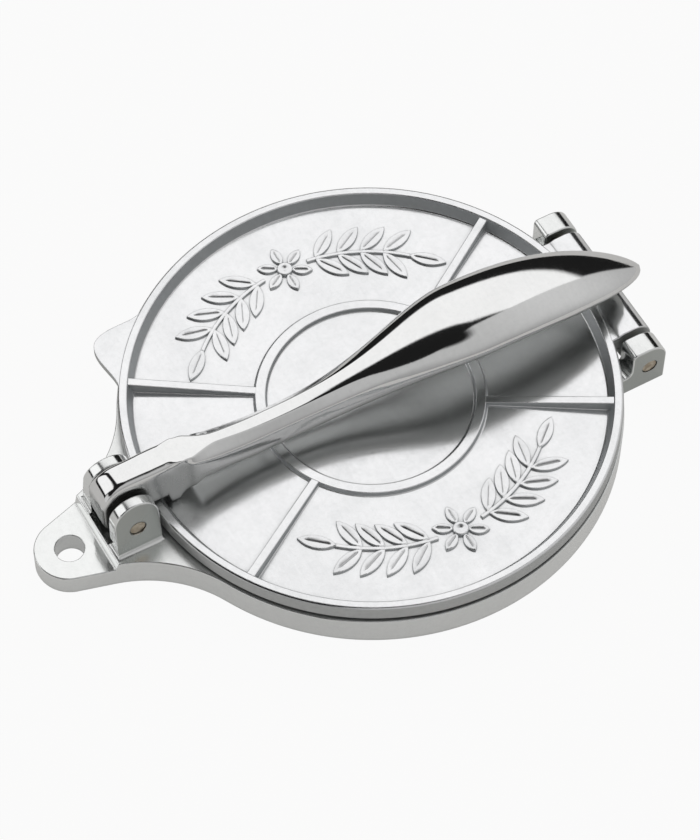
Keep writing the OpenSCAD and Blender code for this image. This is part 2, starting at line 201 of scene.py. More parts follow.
def worked(operation, solid, *tools):
    """Joins the tools to a solid, cuts them out of it, or keeps what they share."""
    parts = []
    for part in (solid, *tools):
        mesh = bpy.data.meshes.new("blank")
        part.to_mesh(mesh)
        part.free()
        parts.append(bpy.data.objects.new("blank", mesh))
        scene.collection.objects.link(parts[-1])
    for tool in parts[1:]:
        step = parts[0].modifiers.new("step", "BOOLEAN")
        step.operation, step.solver, step.object = operation, "EXACT", tool
    result = bmesh.new()
    result.from_object(parts[0], bpy.context.evaluated_depsgraph_get())
    for part in parts:
        bpy.data.meshes.remove(part.data)
    bmesh.ops.dissolve_degenerate(result, edges=result.edges, dist=0.001)
    return result


def gathered(solids):
    """Several solids as one mesh."""
    whole = bmesh.new()
    for solid in solids:
        mesh = bpy.data.meshes.new("blank")
        solid.to_mesh(mesh)
        solid.free()
        whole.from_mesh(mesh)
        bpy.data.meshes.remove(mesh)
    return whole


def piece(name, solid, body, finish, nodes=(), sharp=38, flats=True):
    """Makes the finished piece: smooth faces, crisp edges, true flats."""
    for face in solid.faces:
        face.smooth = True
    for edge in solid.edges:
        edge.smooth = not (edge.is_manifold and edge.calc_face_angle() > radians(sharp))
    moved(solid, Matrix.Scale(MM, 4))
    mesh = bpy.data.meshes.new(name)
    solid.to_mesh(mesh)
    solid.free()
    mesh.materials.append(finish)
    thing = bpy.data.objects.new(name, mesh)
    scene.collection.objects.link(thing)
    if flats:
        even = thing.modifiers.new("true flats", "WEIGHTED_NORMAL")
        even.keep_sharp, even.weight = True, 80
    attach(thing, body)
    if nodes:
        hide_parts(*nodes)
    return thing


def mix(a, b, t):
    return a + (b - a) * t


def share(u, a, b):
    """How far u has come from a to b, between 0 and 1."""
    return min(1.0, max(0.0, (u - a) / (b - a)))


def smooth(t):
    return t * t * (3 - 2 * t)


def soft_max(a, b, blend):
    """The larger of two, with a rounded change from one to the other."""
    return max(a, b) + max(blend - abs(a - b), 0) ** 2 / (4 * blend)


def soft_min(a, b, blend):
    return -soft_max(-a, -b, blend)


# ------------------------------------------------------------- finishes

class Shade:
    """A number or a colour on its way through a material."""

    def __init__(self, paint, socket):
        self.paint, self.socket = paint, socket

    def sum(self, operation, a, b):
        return self.paint.node("Math", {"operation": operation}, {0: a, 1: b})

    def __add__(self, other):
        return self.sum("ADD", self, other)

    def __sub__(self, other):
        return self.sum("SUBTRACT", self, other)

    def __rsub__(self, other):
        return self.sum("SUBTRACT", other, self)

    def __mul__(self, other):
        return self.sum("MULTIPLY", self, other)

    def size(self):
        """The value without its sign."""
        return self.sum("ABSOLUTE", self, 0)

    def or_more(self, other):
        """The larger of the two."""
        return self.sum("MAXIMUM", self, other)

    __radd__, __rmul__ = __add__, __mul__


class Paint:
    """The nodes of one material, or of the studio round the object."""

    def __init__(self, owner):
        owner.use_nodes = True
        self.owner, self.tree = owner, owner.node_tree
        self.tree.nodes.clear()

    def node(self, kind, settings=None, inputs=None, output=0):
        made = self.tree.nodes.new("ShaderNode" + kind)
        for name, value in (settings or {}).items():
            setattr(made, name, value)
        for name, value in (inputs or {}).items():
            if isinstance(value, Shade):
                self.tree.links.new(value.socket, made.inputs[name])
            else:
                made.inputs[name].default_value = value
        return Shade(self, made.outputs[output])

    def place(self, stretch=(1, 1, 1), turn=(0, 0, 0)):
        """A point's own place on the object, stretched and turned."""
        here = self.node("TexCoord", output="Object")
        return self.node("Mapping", inputs={"Vector": here, "Scale": stretch, "Rotation": turn})

    def noise(self, place, scale, detail=3.0, rough=0.5, swirl=0.0):
        return self.node("TexNoise", inputs={"Vector": place, "Scale": scale, "Detail": detail,
                                             "Roughness": rough, "Distortion": swirl}, output="Fac")

    def ramp(self, value, low, high, start=0.0, end=1.0):
        return self.node("MapRange", {"interpolation_type": "SMOOTHSTEP"},
                         {"Value": value, "From Min": low, "From Max": high, "To Min": start, "To Max": end})

    def blend(self, factor, a, b):
        return self.node("Mix", {"data_type": "RGBA"}, {0: factor, 6: a, 7: b}, output=2)

    def done(self, shader, kind="OutputMaterial"):
        last = self.tree.nodes.new("ShaderNode" + kind)
        self.tree.links.new(shader.socket, last.inputs["Surface"])
        return self.owner


BLOTCH_GREY = (0.55, 0.56, 0.56, 1)
LINE_GREY = (0.50, 0.51, 0.51, 1)
# painted shade: the grey that ambient occlusion lays into corners and creases
CORNER_SHADE_GREY = (0.26, 0.27, 0.27, 1)
SAND_GREY = (0.20, 0.21, 0.21, 1)


def aluminium(name, bright, dull, gloss, haze, inner=None, outer=None, cast=0.38, under=None,
              tilt=(-0.45, -0.75), cheek=None, flat=0.0, mottle=0.0, waves=0.00003, edge=0.0004):
    """Cast aluminium, buffed by hand: haze in swirls, fine buffing lines, blotches, and painted shade that
    darkens the corners.

    Upright faces get a darker colour of their own and more haze: inner is their colour on the plate, outer
    beyond its edge, and cast their extra haze. So do faces that look down, with more haze too: under is their
    colour, and tilt says how far down they must look. Cheek is painted shade: a darker colour on an ear's
    upright sides, for the shaded deck that they reflect. Flat is the extra haze of the deck, mottle the
    strength of the blotches, waves the depth of slow waves in the surface, and edge the radius that softens
    its corners."""
    paint = Paint(bpy.data.materials.new(name))
    here = paint.place()
    swirl = paint.ramp(paint.noise(here, 26, 4, 0.55, 1.6), 0.34, 0.70)
    cloud = paint.ramp(paint.noise(here, 70, 5, 0.6, 0.6), 0.30, 0.75)
    lines = paint.noise(paint.place((60, 900, 60), (0, 0, 0.5)), 1.0, 3, 0.6, 0.4)
    grain = paint.noise(here, 1500, 2)
    blotch = paint.noise(here, 520, 6, 0.68, 0.2)
    # painted shade: ambient occlusion marks the corners and creases, which are darkened in colour and given
    # more haze
    corner = 1 - paint.node("AmbientOcclusion", {"samples": 6}, {"Distance": 0.003}, output="AO")
    corner = paint.ramp(corner, 0.12, 0.7)
    wear = swirl * 0.55 + cloud * 0.35 + paint.ramp(blotch, 0.38, 0.66) * 0.1
    colour = paint.blend(wear, bright, dull)
    colour = paint.blend(paint.ramp(blotch, 0.35, 0.75) * mottle, colour, BLOTCH_GREY)
    colour = paint.blend((grain * 0.5 + lines * 0.5) * 0.16, colour, LINE_GREY)
    # painted shade in the corners and creases
    colour = paint.blend(corner * 0.6, colour, CORNER_SHADE_GREY)
    rough = wear * haze + gloss + (lines - 0.5) * 0.06 + corner * 0.15
    facing = paint.node("TexCoord", output="Normal")
    aside, _, up = (paint.node("SeparateXYZ", inputs={0: facing}, output=k) for k in range(3))
    x, y, z = (paint.node("SeparateXYZ", inputs={0: here}, output=k) for k in range(3))
    rough = rough + paint.ramp(up, 0.90, 0.99) * paint.ramp(z, TONGUE_TOP * MM, BASE_TOP * MM) * flat
    if under:
        below = paint.ramp(up, tilt[0], tilt[1])
        colour = paint.blend(below, colour, under)
        rough = rough + below * 0.25
    if inner:
        side = 1 - paint.ramp(up.size(), 0.45, 0.80)
        reach = x * x + y * y
        beyond = paint.ramp(reach, (0.99 * LID_R * MM) ** 2, (0.995 * LID_R * MM) ** 2)
        upright_colour = paint.blend(beyond, inner, outer)
        upright_colour = paint.blend(blotch * 0.3, upright_colour, SAND_GREY)
        colour = paint.blend(side, colour, upright_colour)
        rough = rough + side * cast
    # painted shade: an ear's upright sides are painted darker, standing for the shaded deck that they
    # reflect, and made a little hazier
    if cheek:
        on_ear = paint.ramp(aside.size(), 0.95, 0.985)
        on_ear = on_ear * paint.ramp(x.size(), (EAR_OUT + 4) * MM, (EAR_OUT + 1) * MM)
        rear = paint.ramp(y, 0, BASE_R * 0.5 * MM)
        on_ear = on_ear * rear.or_more(paint.ramp(z, BASE_TOP * MM, (BASE_TOP + 0.4) * MM))
        colour = paint.blend(on_ear, colour, cheek)
        rough = rough + on_ear * 0.10
    soft_edge = paint.node("Bevel", {"samples": 4}, {"Radius": edge}) if edge else None
    bump = {"Height": paint.noise(here, 55, 2, 0.4), "Distance": waves, "Strength": 1.0}
    if soft_edge:
        bump["Normal"] = soft_edge
    bumped = paint.node("Bump", inputs=bump)
    bumped = paint.node("Bump", inputs={"Height": lines * 0.6 + grain * 0.4, "Distance": 0.00001,
                                        "Strength": 0.7, "Normal": bumped})
    metal = paint.node("BsdfPrincipled", inputs={"Base Color": colour, "Metallic": 1.0, "Roughness": rough,
                                                 "Normal": bumped})
    return paint.done(metal)


def pin_steel(name):
    """Turned steel rod, a little brown with age."""
    paint = Paint(bpy.data.materials.new(name))
    here = paint.place()
    stain = paint.ramp(paint.noise(here, 420, 4, 0.6, 0.8), 0.35, 0.7)
    turning = paint.noise(paint.place((40, 1400, 1400)), 1.0, 2)
    colour = paint.blend(stain, (0.62, 0.55, 0.44, 1), (0.42, 0.34, 0.25, 1))
    bumped = paint.node("Bump", inputs={"Height": turning, "Distance": 0.00001, "Strength": 0.6})
    metal = paint.node("BsdfPrincipled", inputs={"Base Color": colour, "Metallic": 1.0,
                                                 "Roughness": stain * 0.15 + 0.26, "Normal": bumped})
    return paint.done(metal)


plate_finish = aluminium("buffed_plate", (0.99, 0.99, 1.0, 1), (0.90, 0.905, 0.915, 1), 0.12, 0.09,
                         inner=(0.65, 0.67, 0.68, 1), outer=(0.70, 0.71, 0.705, 1),
                         mottle=0.10, waves=0.00007)
relief_finish = aluminium("buffed_relief", (0.98, 0.98, 0.99, 1), (0.88, 0.885, 0.895, 1), 0.16, 0.10,
                          inner=(0.84, 0.86, 0.87, 1), outer=(0.84, 0.86, 0.87, 1), cast=0.18, mottle=0.10,
                          edge=0.0003)
# on the base, cheek is painted shade on the ears' upright sides
base_finish = aluminium("satin_base", (0.98, 0.99, 0.98, 1), (0.94, 0.95, 0.94, 1), 0.07, 0.08,
                        under=(0.62, 0.63, 0.62, 1), cheek=(0.50, 0.52, 0.50, 1), flat=0.15, mottle=0.08)
lever_finish = aluminium("polished_lever", (0.95, 0.95, 0.945, 1), (0.90, 0.90, 0.895, 1), 0.05, 0.04,
                         under=(0.40, 0.41, 0.40, 1), tilt=(0.32, -0.12), mottle=0.08, waves=0.00002, edge=0)
steel = pin_steel("aged_pin_steel")


# ------------------------------------------------------------- base casting

def plan_outline():
    """The round plate and its tongue, joined by hollow flares."""
    taper = radians(TONGUE_TAPER)
    normal = Vector((cos(taper), -sin(taper)))
    off = normal.y * HOLE_Y + TONGUE_R + FLARE_R
    down = sqrt((BASE_R + FLARE_R) ** 2 - off ** 2)
    flare = off * normal - down * Vector((sin(taper), cos(taper)))
    edge = flare * BASE_R / (BASE_R + FLARE_R)
    near = flare - FLARE_R * normal
    swing = degrees(atan2(flare.y - edge.y, flare.x - edge.x)) + TONGUE_TAPER
    tongue = Vector((0, HOLE_Y)) + TONGUE_R * normal
    rest = 180 - 2 * degrees(atan2(edge.y, edge.x))
    pen = Outline(-edge.x, edge.y).arc(-flare.x, flare.y, swing, 14).line((-tongue.x, tongue.y))
    pen.arc(0, HOLE_Y, 180 - 2 * TONGUE_TAPER, 32).line((near.x, near.y)).arc(flare.x, flare.y, swing, 14)
    return pen.arc(0, 0, rest, 150)


def front_ear():
    """A round crown on a leaning ear, with a small fillet where it leaves the deck."""
    sunk, over, far = BASE_TOP - 2, 36, 20
    spread, fillet, narrow = 1.6, 1.7, 0.8
    lean = (FOOT_OUT - CROWN_OUT) / (CROWN_Z + CROWN_R - BASE_TOP)
    top_out = FOOT_OUT - (over - BASE_TOP) * lean
    section = Outline(FRONT_IN, sunk).line((FOOT_OUT + spread, sunk), (FOOT_OUT + spread, BASE_TOP))
    section.arc(FOOT_OUT + spread, BASE_TOP + fillet, -84, 6).line((top_out, over), (FRONT_IN, over))
    left, right = FRONT_Y - CROWN_R, FRONT_Y + CROWN_R
    shape = Outline(left - narrow, sunk).line((right + narrow, sunk), (right + narrow, BASE_TOP))
    shape.arc(right + narrow, BASE_TOP + narrow, -90, 4).line((right, CROWN_Z)).arc(FRONT_Y, CROWN_Z, 180, 40)
    shape.line((left, BASE_TOP + narrow)).arc(left - narrow, BASE_TOP + narrow, -90, 4)
    ear = worked("INTERSECT", along(section, FRONT_Y - far, FRONT_Y + far), across(shape, 0, far + 10))
    return rounded(ear, 0.45, 3, 50, higher_than(BASE_TOP + 3))


def rear_ear():
    """Square at the front, well rounded at the back, on a low arm from the plate."""
    root, low, arm = SKIRT_R * 0.94, 0.1, BASE_TOP - 3
    corner, fillet = 1.6, 2.4
    shape = Outline(root, low).line((EAR_BACK, low), (EAR_BACK, EAR_TOP - EAR_ROUND))
    shape.arc(EAR_BACK - EAR_ROUND, EAR_TOP - EAR_ROUND, 90, 14).line((EAR_FRONT + corner, EAR_TOP))
    shape.arc(EAR_FRONT + corner, EAR_TOP - corner, 90, 6).line((EAR_FRONT, arm + fillet))
    shape.arc(EAR_FRONT - fillet, arm + fillet, -90, 6).line((root, arm))
    return rounded(across(shape, EAR_IN, EAR_OUT), 0.55, 3, 50)


def stiffeners():
    """The ring, the boss and the crossed ribs of the hollow underside.

    The ribs start a little higher than the ring and end a little sooner inside the web, and they lie slightly
    off the middle, so that no two faces share a plane."""
    deep, lift = WEB_Z + 0.5, 0.3
    inner = RING_OUT - UNDER_W
    ring = Outline(inner, 0).line((RING_OUT, 0), (RING_OUT, deep), (inner, deep), (inner, 0))
    boss = Outline(0, 0).line((BOSS_R - 0.4, 0), (BOSS_R, 0.4), (BOSS_R, deep), (0, deep))
    start, end, left, right = -SKIRT_R - 1.1, SKIRT_R + 1.2, -1.4, 1.6
    ribs = []
    for side in (-1, 1):
        bar = Outline(start, left).line((end, left), (end, right), (start, right))
        ribs.append(moved(thick(bar, lift, deep - 0.2), turn_about_z(90 + side * RIB_TURN)))
    return [turned(ring, 144), turned(boss, 64), *ribs]


def hanging_hole():
    """The cutter for the hole in the tongue, which rounds both its edges."""
    top, mouth = TONGUE_TOP, HOLE_R + HOLE_EDGE
    hole = Outline(0, -1).line((mouth, -1), (mouth, 0)).arc(mouth, HOLE_EDGE, -90, 4)
    hole.line((HOLE_R, top - HOLE_EDGE)).arc(mouth, top - HOLE_EDGE, -90, 4)
    hole.line((mouth, top + 5), (0, top + 5))
    return moved(turned(hole, 64), Matrix.Translation((0, HOLE_Y, 0)))


def pin_recesses():
    """The cutters for the shallow recesses round the pins' ends, in the ears' outer faces."""
    half, cutters = 2, []
    for bottom, y, z in ((EAR_OUT - 0.9, REAR_Y, REAR_Z), (CROWN_OUT + 0.3, FRONT_Y, FRONT_Z)):
        for side in (-1, 1):
            cutter = rod(PIN_R + RECESS, half, y, z, 48)
            cutters.append(moved(cutter, Matrix.Translation((side * (bottom + half), 0, 0))))
    return cutters


def base_casting():
    """The plate with its tongue, step and press face, hollow below, with all four ears."""
    blank = thick(plan_outline(), 0, BASE_TOP)
    far, over = 240, 20
    drop = Outline(-far, TONGUE_TOP).line((STEP_Y - STEP_RUN, TONGUE_TOP), (STEP_Y, BASE_TOP + 0.01))
    drop.line((STEP_Y, over), (-far, over))
    blank = rounded(worked("DIFFERENCE", blank, across(drop, -60, 60)), 0.7, 3)
    sunk, edge, corner, below = 9, 0.25, 2, -2
    face = Outline(0, sunk).line((FACE_R, sunk), (FACE_R, FACE_TOP - edge))
    face.arc(FACE_R - edge, FACE_TOP - edge, 90, 3).line((0, FACE_TOP))
    hollow = Outline(0, below).line((SKIRT_R, below), (SKIRT_R, WEB_Z - corner))
    hollow.arc(SKIRT_R - corner, WEB_Z - corner, 90, 5).line((0, WEB_Z))
    blank = worked("UNION", blank, turned(face))
    blank = worked("DIFFERENCE", blank, turned(hollow))
    blank = worked("UNION", blank, *stiffeners(),
                   front_ear(), mirrored(front_ear()), rear_ear(), mirrored(rear_ear()))
    return worked("DIFFERENCE", blank, hanging_hole(),
                  rod(POCKET_R, FRONT_IN, FRONT_Y, FRONT_Z, 90), rod(SEAT_R, 20, FRONT_Y, FRONT_Z, 48),
                  rod(SCALLOP_R, EAR_IN, REAR_Y, REAR_Z, 64), rod(SEAT_R, 40, REAR_Y, REAR_Z, 48),
                  *pin_recesses())


piece("base_casting", base_casting(), "base", base_finish, ["base_plate"])


# ------------------------------------------------------------- top plate

def plate_disc():
    """Press face, shadow groove, rim, floor and raised ring, turned in one."""
    pen = Outline(0, LID_UNDER).line((GROOVE_R, LID_UNDER), (GROOVE_R, GROOVE_TOP), (LID_R - 0.2, GROOVE_TOP))
    pen.line((LID_R, GROOVE_TOP + 0.2), (LID_R, RIM_TOP - RIM_EDGE))
    pen.arc(LID_R - RIM_EDGE, RIM_TOP - RIM_EDGE, 90, 7).line((RIM_IN + RIM_LIP, RIM_TOP))
    pen.arc(RIM_IN + RIM_LIP, RIM_TOP - RIM_LIP, 80, 5)
    foot, slope = RIM_FOOT - 0.3, radians(20)
    pen.line((foot + RIM_FILLET * cos(slope), FLOOR + RIM_FILLET - RIM_FILLET * sin(slope)))
    pen.arc(foot, FLOOR + RIM_FILLET, -70, 5).line((RING_OUT + RING_FOOT, FLOOR))
    pen.arc(RING_OUT + RING_FOOT, FLOOR + RING_FILLET, -80, 4).line((RING_OUT, RING_TOP - RING_EDGE))
    pen.arc(RING_OUT - RING_EDGE, RING_TOP - RING_EDGE, 90, 4).line((RING_IN + RING_EDGE, RING_TOP))
    pen.arc(RING_IN + RING_EDGE, RING_TOP - RING_EDGE, 90, 4).line((RING_IN - 0.3, FLOOR + RING_FILLET))
    pen.arc(RING_IN - RING_FOOT, FLOOR + RING_FILLET, -80, 4).line((0, FLOOR))
    return turned(pen, 240)


def rib():
    """A rib from the ring to the rim, with a flared foot and a soft top."""
    half, flare, soft = RIB_W / 2, RIB_W / 2 + 0.6, 0.3
    sunk, foot = FLOOR - 0.3, FLOOR + 0.5
    pen = Outline(-flare, sunk).line((flare, sunk), (flare, FLOOR)).arc(flare, foot, -90, 4)
    pen.line((half, RING_TOP - soft)).arc(half - soft, RING_TOP - soft, 90, 3)
    pen.line((soft - half, RING_TOP)).arc(soft - half, RING_TOP - soft, 90, 3)
    pen.line((-half, foot)).arc(-flare, foot, -90, 4)
    bar = across(pen, RING_OUT - RING_EDGE, RIM_IN + 1)
    for v in bar.verts:
        if v.co.z > foot + 0.1:
            v.co.z += RIB_TOP - RING_TOP if v.co.x > RING_OUT + 1 else -0.03
    return bar


def leaf(length, width, height, z):
    """A pointed leaf along X: two arcs, a soft upper edge and a groove for the midrib."""
    r = (length ** 2 + width ** 2) / (4 * width)
    turn = -2 * degrees(acos((r - width / 2) / r))
    pen = Outline(0, 0).arc(length / 2, width / 2 - r, turn, 12).arc(length / 2, r - width / 2, turn, 12)
    solid = rounded(thick(pen, z, z + height), 0.22, 2, 50, higher_than(z + 0.1))
    cuts = [((x * length, 0, 0), (1, 0, 0)) for x in (0.13, 0.2, 0.72, 0.82)]
    cuts += [((0, y, 0), (0, 1, 0)) for y in (-0.3, 0, 0.3)]
    for point, direction in cuts:
        bmesh.ops.bisect_plane(solid, geom=solid.verts[:] + solid.edges[:] + solid.faces[:],
                               plane_co=point, plane_no=direction)
    for v in solid.verts:
        if abs(v.co.y) < 0.01 and 0.19 * length < v.co.x < 0.73 * length and v.co.z > z + 0.1:
            v.co.z -= MIDRIB
    return solid


def stem(start, end, z):
    """A soft-topped bar, spun round the plate's middle."""
    inner, outer, wall, soft = SPRIG_R - STEM_W / 2, SPRIG_R + STEM_W / 2, z + 0.8, 0.2
    bar = Outline(inner, z).line((outer, z), (outer, wall)).arc(outer - soft, wall, 90, 3)
    solid = bar.line((inner + soft, wall + soft)).arc(inner + soft, wall, 90, 3).filled()
    moved(solid, Matrix.Rotation(radians(start), 4, "Z") @ Matrix.Rotation(radians(90), 4, "X"))
    bmesh.ops.spin(solid, geom=solid.faces[:], cent=(0, 0, 0), axis=(0, 0, 1),
                   angle=radians(end - start), steps=24)
    return outward(solid)


def blossom(z, height):
    """Six petals round a dimpled button."""
    parts = []
    for petal in range(6):
        parts.append(moved(leaf(LEAF_L * 0.55, LEAF_W * 0.75, height, z), turn_about_z(petal * 60, PETAL_AT)))
    top, soft = z + height, 0.3
    button = Outline(0, z).line((BUTTON_R, z), (BUTTON_R, top)).arc(BUTTON_R - soft, top, 90, 4)
    button.line((1.2, top + soft), (0.5, top + 0.05), (0, top))
    return [*parts, turned(button, 36)]


def sprig(start, end, side, z, height):
    """A stem with pairs of leaves and one more leaf at its end."""
    step = (end - start) / 4.6
    grown = [stem(start, end, z)]
    for pair in range(4):
        for hand in (-1, 1):
            leaning = turn_about_z(side * (90 - hand * LEAF_TURN), STEM_W / 4)
            blade = moved(leaf(LEAF_L, LEAF_W, height, z), leaning)
            grown.append(moved(blade, turn_about_z(start + (pair + 0.35) * step, SPRIG_R)))
    blade = moved(leaf(LEAF_L, LEAF_W, height, z), turn_about_z(side * 90, -STEM_W / 2))
    return [*grown, moved(blade, turn_about_z(end, SPRIG_R))]


def leaf_relief():
    """Four sprigs of leaves along the rim, and a blossom where two of them start."""
    z, height = FLOOR - 0.2, RELIEF + 0.2
    carved = []
    for middle, reach in ((180, 43), (0, 41)):
        carved += [moved(part, turn_about_z(middle, SPRIG_R)) for part in blossom(z, height)]
        for side in (-1, 1):
            carved += sprig(middle + side * SPRIG_FROM, middle + side * reach, side, z, height)
    return gathered(carved)


def lift_tab():
    """A thin tab for the fingertips, level with the rim, which runs into it with hollow curves."""
    root_r, span, steps = LID_R - 0.5, TAB_SPAN + 2, 24
    edge = []
    for k in range(-steps, steps + 1):
        angle = radians(span * k / steps)
        reach = root_r + (TAB_REACH + 0.5) * smooth(1 - abs(k) / steps)
        edge.append((reach * cos(angle), reach * sin(angle)))
    pen = Outline(*edge[0]).line(*edge[1:]).arc(0, 0, -2 * span, 10)
    solid = rounded(thick(pen, RIM_TOP - TAB_T, RIM_TOP - 0.02), 0.45, 3, 50,
                    lambda e: max(hypot(v.co.x, v.co.y) for v in e.verts) > root_r + 0.6)
    return moved(solid, turn_about_z(TAB_TURN))


def hinge_lug():
    """The lug between the rear ears, which follows their rounded back and turns on the pin."""
    bite, rim = 77, RIM_TOP - 0.02
    pen = Outline(bite, LID_UNDER).line((REAR_Y - BARREL_R, LID_UNDER), (REAR_Y, REAR_Z))
    pen.line((REAR_Y + BARREL_R, REAR_Z), (EAR_BACK, EAR_TOP - EAR_ROUND))
    pen.arc(EAR_BACK - EAR_ROUND, EAR_TOP - EAR_ROUND, 88, 14)
    pen.line((EAR_FRONT + 2, EAR_TOP - 0.2), (LID_R - 1, rim), (bite, rim))
    slab = rounded(across(pen, -LUG_HALF, LUG_HALF), 0.4, 3, 55)
    slab = worked("UNION", slab, rounded(rod(BARREL_R, LUG_HALF, REAR_Y, REAR_Z), 0.4, 3, 55))
    disc = Outline(0, 5).line((GROOVE_R - 0.2, 5), (GROOVE_R - 0.2, 30), (0, 30))
    return worked("DIFFERENCE", slab, turned(disc), rod(BORE_R, 30, REAR_Y, REAR_Z, 48))


piece("top_plate_disc", plate_disc(), "lid", plate_finish, ["top_plate"])
piece("stiffening_ribs", gathered([moved(rib(), turn_about_z(half + 90 + side * RIB_TURN))
                                   for half in (0, 180) for side in (-1, 1)]),
      "lid", plate_finish, ["top_plate"])
piece("leaf_relief", leaf_relief(), "lid", relief_finish, ["top_plate"])
piece("lift_tab", lift_tab(), "lid", plate_finish, ["top_plate"])
piece("hinge_lug", hinge_lug(), "lid", plate_finish, ["top_plate"])


# ------------------------------------------------------------- lever

def middle(u):
    """The height of the lever's middle line, from the root over the neck and the crest to the tip."""
    if u < NECK_AT:
        return mix(NECK_UP, NECK_UP + ROOT_RISE, smooth(share(u, NECK_AT, ROOT_END)))
    if u < CREST_AT:
        return mix(NECK_UP, CREST_UP, smooth(share(u, NECK_AT, CREST_AT) ** 1.25))
    return mix(CREST_UP, TIP_UP, share(u, CREST_AT, TIP_AT) ** 2.2)


def swell(u, neck, grip):
    """Height of the blade over its middle line, or depth below it."""
    return mix(neck, grip, smooth(share(u, NECK_AT, WIDE_AT))) * mix(1, 0.12, share(u, WIDE_AT, TIP_AT) ** 3)


def half_width(u):
    """Half the lever's width: the root, a shoulder, the neck, the wide grip and the pointed tip."""
    if u > WIDE_AT:
        return (GRIP_HALF - TIP_HALF) * (1 - share(u, WIDE_AT, TIP_AT) ** 2.4) ** 0.6 + TIP_HALF
    if u > NECK_AT:
        return mix(NECK_HALF, GRIP_HALF, smooth(share(u, NECK_AT, WIDE_AT) ** 1.45))
    blade = mix(NECK_HALF, NECK_HALF + 0.8, share(u, NECK_AT, 24))
    half = mix(ROOT_HALF, blade, smooth(share(u, SHOULDER_AT, SHOULDER_END)))
    nose = 1 - share(u, -EYE_R, -EYE_R + NOSE)
    return half - NOSE * (1 - sqrt(1 - nose * nose))


def upper(u):
    """The lever's top line: a quarter round over the pin, then the root, then the blade."""
    if u < 0:
        return ROOT_TOP - EYE_R + sqrt(EYE_R ** 2 - u * u)
    return mix(middle(u) + swell(u, NECK_ABOVE, GRIP_ABOVE), ROOT_TOP, smooth(share(u, 28, 15)))


def lower(u):
    """The lever's bottom line: round under the pin, a notch, the heel that bears on the plate, the blade."""
    blade = middle(u) - swell(u, NECK_BELOW, GRIP_BELOW)
    heel_end = HEEL_TO + HEEL_R
    if u < NOTCH_AT:
        return -sqrt(EYE_R ** 2 - u * u)
    if u < HEEL_FROM:
        return NOTCH_LOW
    if u < HEEL_FROM + HEEL_R:
        return mix(NOTCH_LOW, HEEL_LOW, smooth(share(u, HEEL_FROM, HEEL_FROM + HEEL_R) ** 0.6))
    if u < HEEL_TO:
        return HEEL_LOW
    if u < heel_end:
        return HEEL_LOW + HEEL_R - sqrt(max(HEEL_R ** 2 - (u - HEEL_TO) ** 2, 0))
    return soft_min(HEEL_LOW + HEEL_R + HEEL_RAMP * (u - heel_end), blade, 0.8) if u < 40 else blade


def squareness(u):
    """How square the lever's section is: 2 is an ellipse, and more is squarer."""
    return mix(6.5, 3.0, smooth(share(u, 18, 38))) if u < 38 else mix(3.0, 2.1, share(u, 38, CREST_AT))


def roof(u, q):
    """The neck's upper half: a flat spine, sloping flanks and short upright sides. It starts square.

    q runs from the middle line to the side. The result is how far out and how high the surface is there."""
    square = share(u, 33, 20.2) ** 1.4
    spine = SPINE_HALF / NECK_HALF * mix(0.75, 1, share(u, 36, 52))
    ridge = (0.434, mix(spine, 0.95, square), 0.985)
    knee = (0.782, mix(0.85, 0.985, square), mix(0.62, 0.8, square))
    skirt = (0.975, mix(0.985, 0.99, square), mix(0.12, 0.3, square))
    knots = ((0, 0, 1), ridge, knee, skirt, (1, 1, 0))
    blur = mix(0.035 + 0.14 * share(u, 62, 92), 0.045, share(q, 0.5, 0.75)) * (1 - share(q, 0.93, 1))
    out = rise = 0.0
    for k in range(-3, 4):
        at = q + k / 3 * blur
        for low, high in zip(knots, knots[1:]):
            if low[0] <= abs(at) <= high[0]:
                t = share(abs(at), low[0], high[0])
                out += mix(low[1], high[1], t) * (1 if at > 0 else -1) / 7
                rise += mix(low[2], high[2], t) / 7
                break
    return out, rise


def lever_stations():
    """Places along the lever, closer together where its shape changes quickly."""
    places = [-EYE_R * cos(radians(a)) for a in range(0, 90, 5)] + [0.6 * k for k in range(24)]
    places += [HEEL_FROM + 0.18 * k for k in range(29)] + [19.6 + 0.55 * k for k in range(38)]
    last = places[-1]
    return places + [last + (TIP_AT - last) * (1 - (1 - k / 90) ** 1.25) for k in range(1, 91)]


def lever_angles():
    """Places round the lever's section, closer together at the ridges of the neck's roof."""
    quarter = [0, 5, 10, 15, 20, 23, 24.4, 25.7, 27, 28.4, 32, 36, 40, 45, 50, 55, 60, 65, 70, 75, 80, 85]
    below = [5 * k - 180 for k in range(36)]
    return below + [90 - a for a in (90, *quarter[:0:-1])] + [90 + a for a in (*quarter, 90)]


